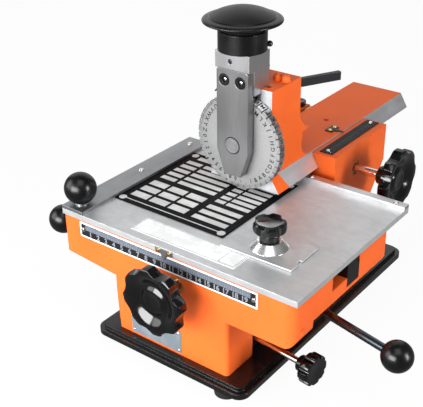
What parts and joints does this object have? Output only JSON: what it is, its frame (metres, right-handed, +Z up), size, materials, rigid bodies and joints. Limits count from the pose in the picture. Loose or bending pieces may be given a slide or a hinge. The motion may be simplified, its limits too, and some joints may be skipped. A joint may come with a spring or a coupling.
{
  "type": "nameplate marking machine",
  "caption": "Hand-operated nameplate marking machine: cast frame, cross-sliding work table, sliding arm with a press head and a turning type wheel under a mushroom-shaped push cap.",
  "frame": {"origin": "centre of the base plate's underside; the rubber feet stand below it", "axes": "+X to the machine's right, +Y to its back, +Z up; the front with the scale and the round hand knob faces -Y"},
  "size_m": [0.4141, 0.4615, 0.331],
  "materials": {
    "black_paint": "gloss black enamel",
    "orange_paint": "gloss orange enamel",
    "machined": "fine machined",
    "steel": "satin",
    "chrome": "polished",
    "bakelite": "gloss moulded",
    "satin_black": "satin moulded",
    "rubber": "matt",
    "brass": "turned",
    "blued_steel": "black oxide",
    "scale_face": "anodised"
  },
  "bodies": {
    "frame": {"base_plate": "black_paint", "rubber_feet": "rubber", "frame_bolts": "blued_steel", "bed_casting": "orange_paint", "column_casting": "orange_paint", "table_keeper": "steel", "front_scale": "scale_face", "column_scale": "blued_steel", "scale_screws": "chrome", "arm_gib": "brass", "gib_screws": "blued_steel", "front_bushes": "brass", "side_bushes": "brass", "feed_pivot": "steel", "spacing_bracket": "blued_steel"},
    "table": {"table_plate": "machined", "slide_bar": "blued_steel", "table_rack": "steel", "table_screws": "chrome", "left_fence": "blued_steel", "back_fence": "blued_steel", "table_pointer": "steel", "pointer_screws": "brass", "grip_stud": "steel", "grip_ball": "bakelite", "clamp_stud": "steel", "clamp_plate": "machined", "clamp_washer": "chrome", "nameplate": "blued_steel"},
    "clamp": {"clamp_knob": "bakelite"},
    "front_drive": {"front_shaft": "steel", "front_pinion": "steel", "front_knob": "bakelite"},
    "side_drive": {"side_shaft": "steel", "side_pinion": "steel", "side_knob": "bakelite"},
    "arm": {"arm_casting": "orange_paint", "arm_rack": "steel", "arm_pointer": "steel", "arm_screws": "brass"},
    "plunger": {"plunger_slide": "machined", "plunger_block": "machined", "bracket_plate": "machined", "plunger_screws": "blued_steel", "wheel_axle": "steel", "collar": "bakelite", "mushroom_cap": "satin_black", "return_spring": "steel", "detent_leaf": "blued_steel"},
    "wheel": {"type_wheel": "machined", "type_blocks": "steel"},
    "feed": {"feed_lever": "steel", "feed_ball": "bakelite"},
    "spacing": {"spacing_rod": "chrome", "spacing_knob": "bakelite"},
    "release": {"release_rod": "steel", "release_ball": "bakelite"},
    "lock": {"lock_lever": "blued_steel"},
    "arm_lock": {"arm_clamp": "bakelite"}
  },
  "joints": [
    {"name": "table_slide", "type": "slide", "parent": "frame", "child": "table", "axis": [1, 0, 0], "range_m": [-0.09, 0.08]},
    {"name": "arm_slide", "type": "slide", "parent": "frame", "child": "arm", "axis": [0, -1, 0], "range_m": [-0.018, 0.08]},
    {"name": "front_knob_turn", "type": "hinge", "parent": "frame", "child": "front_drive", "pos_m": [0.0085, -0.1575, 0.091], "axis": [0, 1, 0], "continuous": true},
    {"name": "side_knob_turn", "type": "hinge", "parent": "frame", "child": "side_drive", "pos_m": [0.0675, 0.1115, 0.122], "axis": [1, 0, 0], "continuous": true},
    {"name": "plunger_press", "type": "slide", "parent": "arm", "child": "plunger", "axis": [0, 0, -1], "range_m": [0, 0.0065], "stiffness_N_per_m": 2500, "springref_m": -0.02, "deforming": ["return_spring"]},
    {"name": "wheel_turn", "type": "hinge", "parent": "plunger", "child": "wheel", "pos_m": [-0.0125, -0.0182, 0.1855], "axis": [0, 1, 0], "continuous": true},
    {"name": "clamp_turn", "type": "hinge", "parent": "table", "child": "clamp", "pos_m": [0.0741, -0.0927, 0.149], "axis": [0, 0, 1], "range_deg": [0, 360]},
    {"name": "feed_swing", "type": "hinge", "parent": "frame", "child": "feed", "pos_m": [0.1005, -0.0795, 0.0763], "axis": [0, 0, 1], "range_deg": [-8, 12]},
    {"name": "spacing_turn", "type": "hinge", "parent": "frame", "child": "spacing", "pos_m": [0.0275, -0.0947, 0.025], "axis": [0.9925, -0.1219, 0], "range_deg": [-150, 150]},
    {"name": "release_pull", "type": "slide", "parent": "frame", "child": "release", "axis": [-1, 0, 0], "range_m": [0, 0.008]},
    {"name": "lock_swing", "type": "hinge", "parent": "arm", "child": "lock", "pos_m": [0.0055, 0.0475, 0.23], "axis": [0, 0, 1], "range_deg": [-15, 15]},
    {"name": "arm_lock_turn", "type": "hinge", "parent": "frame", "child": "arm_lock", "pos_m": [-0.0595, 0.1665, 0.16], "axis": [0, 0, 1], "range_deg": [0, 180]}
  ],
  "couplings": [
    {"joint": "front_knob_turn", "follows": "table_slide", "rad_per_m": 83.333},
    {"joint": "side_knob_turn", "follows": "arm_slide", "rad_per_m": 83.333}
  ]
}
